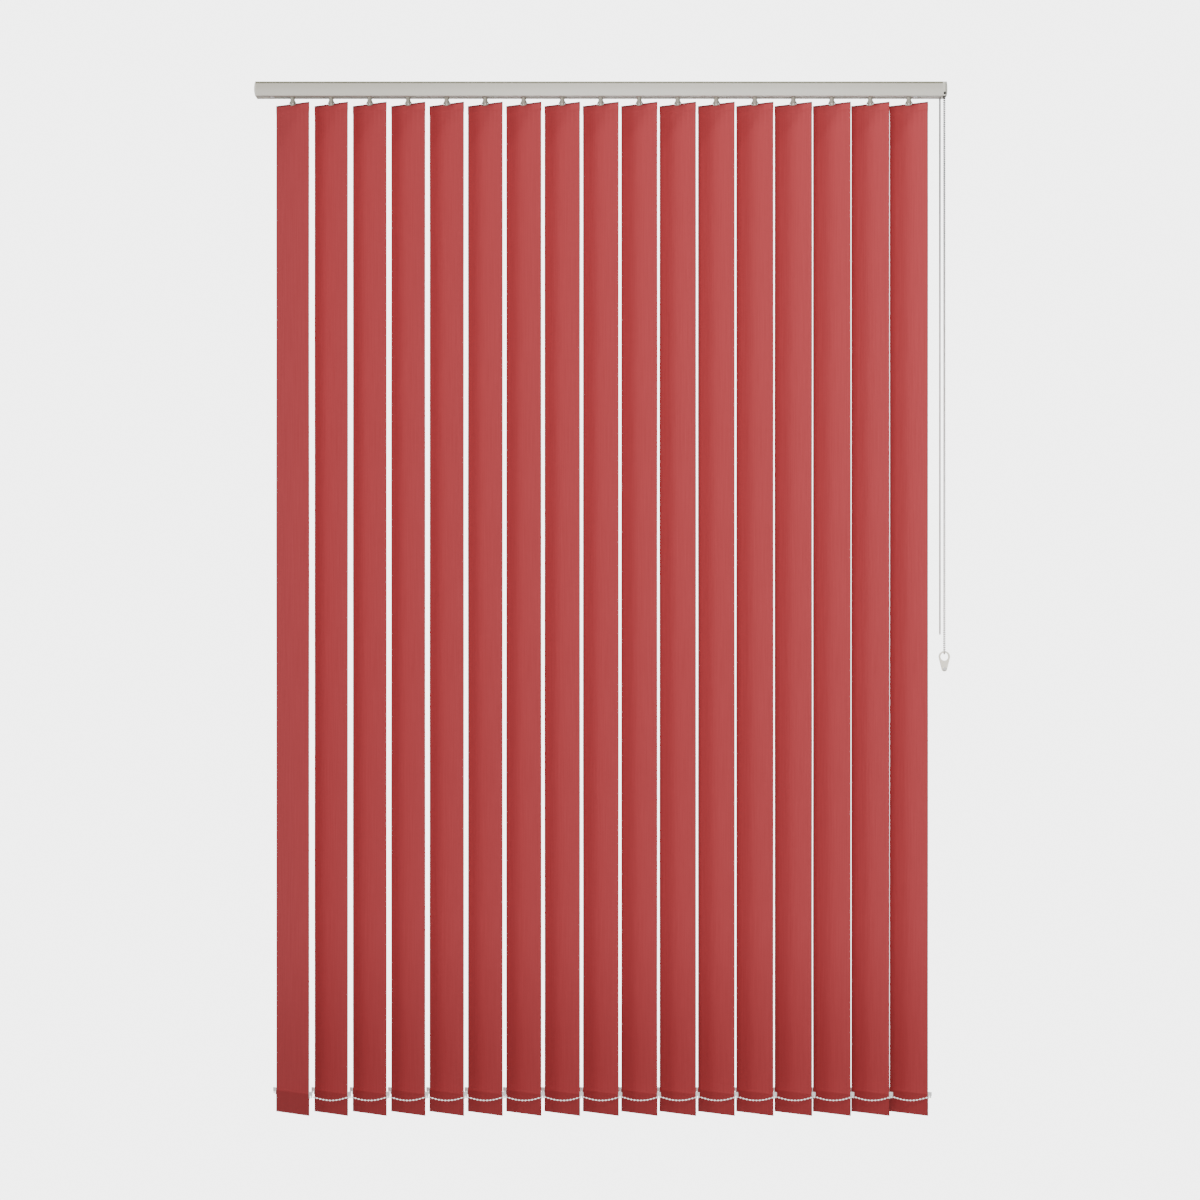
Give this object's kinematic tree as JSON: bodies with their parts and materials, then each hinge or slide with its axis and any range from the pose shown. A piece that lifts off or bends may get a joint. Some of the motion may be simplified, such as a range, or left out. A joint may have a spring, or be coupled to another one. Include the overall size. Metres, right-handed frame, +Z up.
{
  "type": "vertical blind",
  "caption": "Vertical fabric blind on a slim headrail, with turning louvres, a draw cord, a tilt chain and bottom chains.",
  "frame": {"origin": "middle of the ceiling plane, between the outer ceiling screws", "axes": "+X along the rail towards the controls, -Y to the room, +Z up"},
  "size_m": [1.4063, 0.0638, 2.089],
  "materials": {
    "rail_coat": "satin powder coat",
    "white_plastic": "moulded",
    "carrier_plastic": "moulded acetal",
    "steel": "zinc plated",
    "rod_metal": "extruded",
    "cord": "braided polyester",
    "metal_chain": "nickel-plated ball chain",
    "ivory_plastic": "moulded",
    "bead_plastic": "moulded beads",
    "louvre_fabric": "matt coated weave"
  },
  "bodies": {
    "root": {"headrail": "rail_coat", "ceiling_bracket_1": "steel", "ceiling_bracket_2": "steel", "ceiling_bracket_3": "steel", "end_cap_left": "white_plastic", "end_cap_right": "white_plastic", "control_housing": "white_plastic", "return_pulley_pin": "steel", "guide_pulley_pin": "steel", "rail_stop_left": "white_plastic", "rail_stop_right": "white_plastic", "rail_stop_screws": "steel", "rail_cord": "cord", "draw_cord": "cord", "tilt_chain": "metal_chain", "chain_safety_clip": "ivory_plastic", "safety_clip_screw": "steel", "carrier_17": "carrier_plastic"},
    "carrier_01": {"carrier_01": "carrier_plastic"},
    "carrier_02": {"carrier_02": "carrier_plastic"},
    "carrier_03": {"carrier_03": "carrier_plastic"},
    "carrier_04": {"carrier_04": "carrier_plastic"},
    "carrier_05": {"carrier_05": "carrier_plastic"},
    "carrier_06": {"carrier_06": "carrier_plastic"},
    "carrier_07": {"carrier_07": "carrier_plastic"},
    "carrier_08": {"carrier_08": "carrier_plastic"},
    "carrier_09": {"carrier_09": "carrier_plastic"},
    "carrier_10": {"carrier_10": "carrier_plastic"},
    "carrier_11": {"carrier_11": "carrier_plastic"},
    "carrier_12": {"carrier_12": "carrier_plastic"},
    "carrier_13": {"carrier_13": "carrier_plastic"},
    "carrier_14": {"carrier_14": "carrier_plastic"},
    "carrier_15": {"carrier_15": "carrier_plastic"},
    "carrier_16": {"carrier_16": "carrier_plastic"},
    "louvre_01": {"louvre_01": "louvre_fabric"},
    "louvre_02": {"louvre_02": "louvre_fabric"},
    "louvre_03": {"louvre_03": "louvre_fabric"},
    "louvre_04": {"louvre_04": "louvre_fabric"},
    "louvre_05": {"louvre_05": "louvre_fabric"},
    "louvre_06": {"louvre_06": "louvre_fabric"},
    "louvre_07": {"louvre_07": "louvre_fabric"},
    "louvre_08": {"louvre_08": "louvre_fabric"},
    "louvre_09": {"louvre_09": "louvre_fabric"},
    "louvre_10": {"louvre_10": "louvre_fabric"},
    "louvre_11": {"louvre_11": "louvre_fabric"},
    "louvre_12": {"louvre_12": "louvre_fabric"},
    "louvre_13": {"louvre_13": "louvre_fabric"},
    "louvre_14": {"louvre_14": "louvre_fabric"},
    "louvre_15": {"louvre_15": "louvre_fabric"},
    "louvre_16": {"louvre_16": "louvre_fabric"},
    "louvre_17": {"louvre_17": "louvre_fabric"},
    "tilt_shaft": {"tilt_rod": "rod_metal", "chain_wheel": "white_plastic"},
    "return_pulley": {"return_pulley": "white_plastic"},
    "guide_pulley_front": {"guide_pulley_front": "white_plastic"},
    "guide_pulley_back": {"guide_pulley_back": "white_plastic"},
    "bottom_chain_front": {"bottom_chain_front": "bead_plastic"},
    "bottom_chain_back": {"bottom_chain_back": "bead_plastic"}
  },
  "joints": [
    {"name": "traverse", "type": "slide", "parent": "root", "child": "carrier_01", "axis": [1, 0, 0], "range_m": [0, 0.992], "deforming": ["bottom_chain_front", "bottom_chain_back"]},
    {"name": "traverse_02", "type": "slide", "parent": "root", "child": "carrier_02", "axis": [1, 0, 0], "range_m": [0, 0.93001]},
    {"name": "traverse_03", "type": "slide", "parent": "root", "child": "carrier_03", "axis": [1, 0, 0], "range_m": [0, 0.86801]},
    {"name": "traverse_04", "type": "slide", "parent": "root", "child": "carrier_04", "axis": [1, 0, 0], "range_m": [0, 0.80601]},
    {"name": "traverse_05", "type": "slide", "parent": "root", "child": "carrier_05", "axis": [1, 0, 0], "range_m": [0, 0.74401]},
    {"name": "traverse_06", "type": "slide", "parent": "root", "child": "carrier_06", "axis": [1, 0, 0], "range_m": [0, 0.68201]},
    {"name": "traverse_07", "type": "slide", "parent": "root", "child": "carrier_07", "axis": [1, 0, 0], "range_m": [0, 0.62001]},
    {"name": "traverse_08", "type": "slide", "parent": "root", "child": "carrier_08", "axis": [1, 0, 0], "range_m": [0, 0.55801]},
    {"name": "traverse_09", "type": "slide", "parent": "root", "child": "carrier_09", "axis": [1, 0, 0], "range_m": [0, 0.49601]},
    {"name": "traverse_10", "type": "slide", "parent": "root", "child": "carrier_10", "axis": [1, 0, 0], "range_m": [0, 0.43401]},
    {"name": "traverse_11", "type": "slide", "parent": "root", "child": "carrier_11", "axis": [1, 0, 0], "range_m": [0, 0.37201]},
    {"name": "traverse_12", "type": "slide", "parent": "root", "child": "carrier_12", "axis": [1, 0, 0], "range_m": [0, 0.31001]},
    {"name": "traverse_13", "type": "slide", "parent": "root", "child": "carrier_13", "axis": [1, 0, 0], "range_m": [0, 0.24801]},
    {"name": "traverse_14", "type": "slide", "parent": "root", "child": "carrier_14", "axis": [1, 0, 0], "range_m": [0, 0.18601]},
    {"name": "traverse_15", "type": "slide", "parent": "root", "child": "carrier_15", "axis": [1, 0, 0], "range_m": [0, 0.12401]},
    {"name": "traverse_16", "type": "slide", "parent": "root", "child": "carrier_16", "axis": [1, 0, 0], "range_m": [0, 0.06201]},
    {"name": "tilt_01", "type": "hinge", "parent": "carrier_01", "child": "louvre_01", "pos_m": [-0.624, 0, -0.04], "axis": [0, 0, 1], "range_deg": [-132.01, 24.01]},
    {"name": "tilt_02", "type": "hinge", "parent": "carrier_02", "child": "louvre_02", "pos_m": [-0.546, 0, -0.04], "axis": [0, 0, 1], "range_deg": [-132.01, 24.01]},
    {"name": "tilt_03", "type": "hinge", "parent": "carrier_03", "child": "louvre_03", "pos_m": [-0.468, 0, -0.04], "axis": [0, 0, 1], "range_deg": [-132.01, 24.01]},
    {"name": "tilt_04", "type": "hinge", "parent": "carrier_04", "child": "louvre_04", "pos_m": [-0.39, 0, -0.04], "axis": [0, 0, 1], "range_deg": [-132.01, 24.01]},
    {"name": "tilt_05", "type": "hinge", "parent": "carrier_05", "child": "louvre_05", "pos_m": [-0.312, 0, -0.04], "axis": [0, 0, 1], "range_deg": [-132.01, 24.01]},
    {"name": "tilt_06", "type": "hinge", "parent": "carrier_06", "child": "louvre_06", "pos_m": [-0.234, 0, -0.04], "axis": [0, 0, 1], "range_deg": [-132.01, 24.01]},
    {"name": "tilt_07", "type": "hinge", "parent": "carrier_07", "child": "louvre_07", "pos_m": [-0.156, 0, -0.04], "axis": [0, 0, 1], "range_deg": [-132.01, 24.01]},
    {"name": "tilt_08", "type": "hinge", "parent": "carrier_08", "child": "louvre_08", "pos_m": [-0.078, 0, -0.04], "axis": [0, 0, 1], "range_deg": [-132.01, 24.01]},
    {"name": "tilt_09", "type": "hinge", "parent": "carrier_09", "child": "louvre_09", "pos_m": [0, 0, -0.04], "axis": [0, 0, 1], "range_deg": [-132.01, 24.01]},
    {"name": "tilt_10", "type": "hinge", "parent": "carrier_10", "child": "louvre_10", "pos_m": [0.078, 0, -0.04], "axis": [0, 0, 1], "range_deg": [-132.01, 24.01]},
    {"name": "tilt_11", "type": "hinge", "parent": "carrier_11", "child": "louvre_11", "pos_m": [0.156, 0, -0.04], "axis": [0, 0, 1], "range_deg": [-132.01, 24.01]},
    {"name": "tilt_12", "type": "hinge", "parent": "carrier_12", "child": "louvre_12", "pos_m": [0.234, 0, -0.04], "axis": [0, 0, 1], "range_deg": [-132.01, 24.01]},
    {"name": "tilt_13", "type": "hinge", "parent": "carrier_13", "child": "louvre_13", "pos_m": [0.312, 0, -0.04], "axis": [0, 0, 1], "range_deg": [-132.01, 24.01]},
    {"name": "tilt_14", "type": "hinge", "parent": "carrier_14", "child": "louvre_14", "pos_m": [0.39, 0, -0.04], "axis": [0, 0, 1], "range_deg": [-132.01, 24.01]},
    {"name": "tilt_15", "type": "hinge", "parent": "carrier_15", "child": "louvre_15", "pos_m": [0.468, 0, -0.04], "axis": [0, 0, 1], "range_deg": [-132.01, 24.01]},
    {"name": "tilt_16", "type": "hinge", "parent": "carrier_16", "child": "louvre_16", "pos_m": [0.546, 0, -0.04], "axis": [0, 0, 1], "range_deg": [-132.01, 24.01]},
    {"name": "tilt", "type": "hinge", "parent": "root", "child": "louvre_17", "pos_m": [0.624, 0, -0.04], "axis": [0, 0, 1], "range_deg": [-132, 24]},
    {"name": "tilt_shaft_turn", "type": "hinge", "parent": "root", "child": "tilt_shaft", "pos_m": [0, -0.008, -0.016], "axis": [1, 0, 0], "range_deg": [-1584.1, 288.1]},
    {"name": "return_pulley_turn", "type": "hinge", "parent": "root", "child": "return_pulley", "pos_m": [-0.682, 0.0083, -0.0104], "axis": [0, 0, 1], "range_deg": [0, 8484.2]},
    {"name": "guide_pulley_front_turn", "type": "hinge", "parent": "root", "child": "guide_pulley_front", "pos_m": [0.682, 0.0016, -0.0164], "axis": [0, 1, 0], "range_deg": [0, 9473.9]},
    {"name": "guide_pulley_back_turn", "type": "hinge", "parent": "root", "child": "guide_pulley_back", "pos_m": [0.682, 0.015, -0.0164], "axis": [0, 1, 0], "range_deg": [-9473.9, 0]},
    {"name": "bottom_chain_front_swing", "type": "hinge", "parent": "louvre_17", "child": "bottom_chain_front", "pos_m": [0.66485, -0.02968, -2.05], "axis": [0, 0, 1], "range_deg": [-24.01, 132.01]},
    {"name": "bottom_chain_back_swing", "type": "hinge", "parent": "louvre_17", "child": "bottom_chain_back", "pos_m": [0.58315, 0.02968, -2.05], "axis": [0, 0, 1], "range_deg": [-24.01, 132.01]}
  ],
  "couplings": [
    {"joint": "traverse_02", "follows": "traverse", "ratio": 0.9375},
    {"joint": "traverse_03", "follows": "traverse", "ratio": 0.875},
    {"joint": "traverse_04", "follows": "traverse", "ratio": 0.8125},
    {"joint": "traverse_05", "follows": "traverse", "ratio": 0.75},
    {"joint": "traverse_06", "follows": "traverse", "ratio": 0.6875},
    {"joint": "traverse_07", "follows": "traverse", "ratio": 0.625},
    {"joint": "traverse_08", "follows": "traverse", "ratio": 0.5625},
    {"joint": "traverse_09", "follows": "traverse", "ratio": 0.5},
    {"joint": "traverse_10", "follows": "traverse", "ratio": 0.4375},
    {"joint": "traverse_11", "follows": "traverse", "ratio": 0.375},
    {"joint": "traverse_12", "follows": "traverse", "ratio": 0.3125},
    {"joint": "traverse_13", "follows": "traverse", "ratio": 0.25},
    {"joint": "traverse_14", "follows": "traverse", "ratio": 0.1875},
    {"joint": "traverse_15", "follows": "traverse", "ratio": 0.125},
    {"joint": "traverse_16", "follows": "traverse", "ratio": 0.0625},
    {"joint": "tilt_01", "follows": "tilt", "ratio": 1},
    {"joint": "tilt_02", "follows": "tilt", "ratio": 1},
    {"joint": "tilt_03", "follows": "tilt", "ratio": 1},
    {"joint": "tilt_04", "follows": "tilt", "ratio": 1},
    {"joint": "tilt_05", "follows": "tilt", "ratio": 1},
    {"joint": "tilt_06", "follows": "tilt", "ratio": 1},
    {"joint": "tilt_07", "follows": "tilt", "ratio": 1},
    {"joint": "tilt_08", "follows": "tilt", "ratio": 1},
    {"joint": "tilt_09", "follows": "tilt", "ratio": 1},
    {"joint": "tilt_10", "follows": "tilt", "ratio": 1},
    {"joint": "tilt_11", "follows": "tilt", "ratio": 1},
    {"joint": "tilt_12", "follows": "tilt", "ratio": 1},
    {"joint": "tilt_13", "follows": "tilt", "ratio": 1},
    {"joint": "tilt_14", "follows": "tilt", "ratio": 1},
    {"joint": "tilt_15", "follows": "tilt", "ratio": 1},
    {"joint": "tilt_16", "follows": "tilt", "ratio": 1},
    {"joint": "tilt_shaft_turn", "follows": "tilt", "ratio": 12},
    {"joint": "return_pulley_turn", "follows": "traverse", "rad_per_m": 149.25},
    {"joint": "guide_pulley_front_turn", "follows": "traverse", "rad_per_m": 166.67},
    {"joint": "guide_pulley_back_turn", "follows": "traverse", "rad_per_m": -166.67},
    {"joint": "bottom_chain_front_swing", "follows": "tilt", "ratio": -1},
    {"joint": "bottom_chain_back_swing", "follows": "tilt", "ratio": -1}
  ]
}
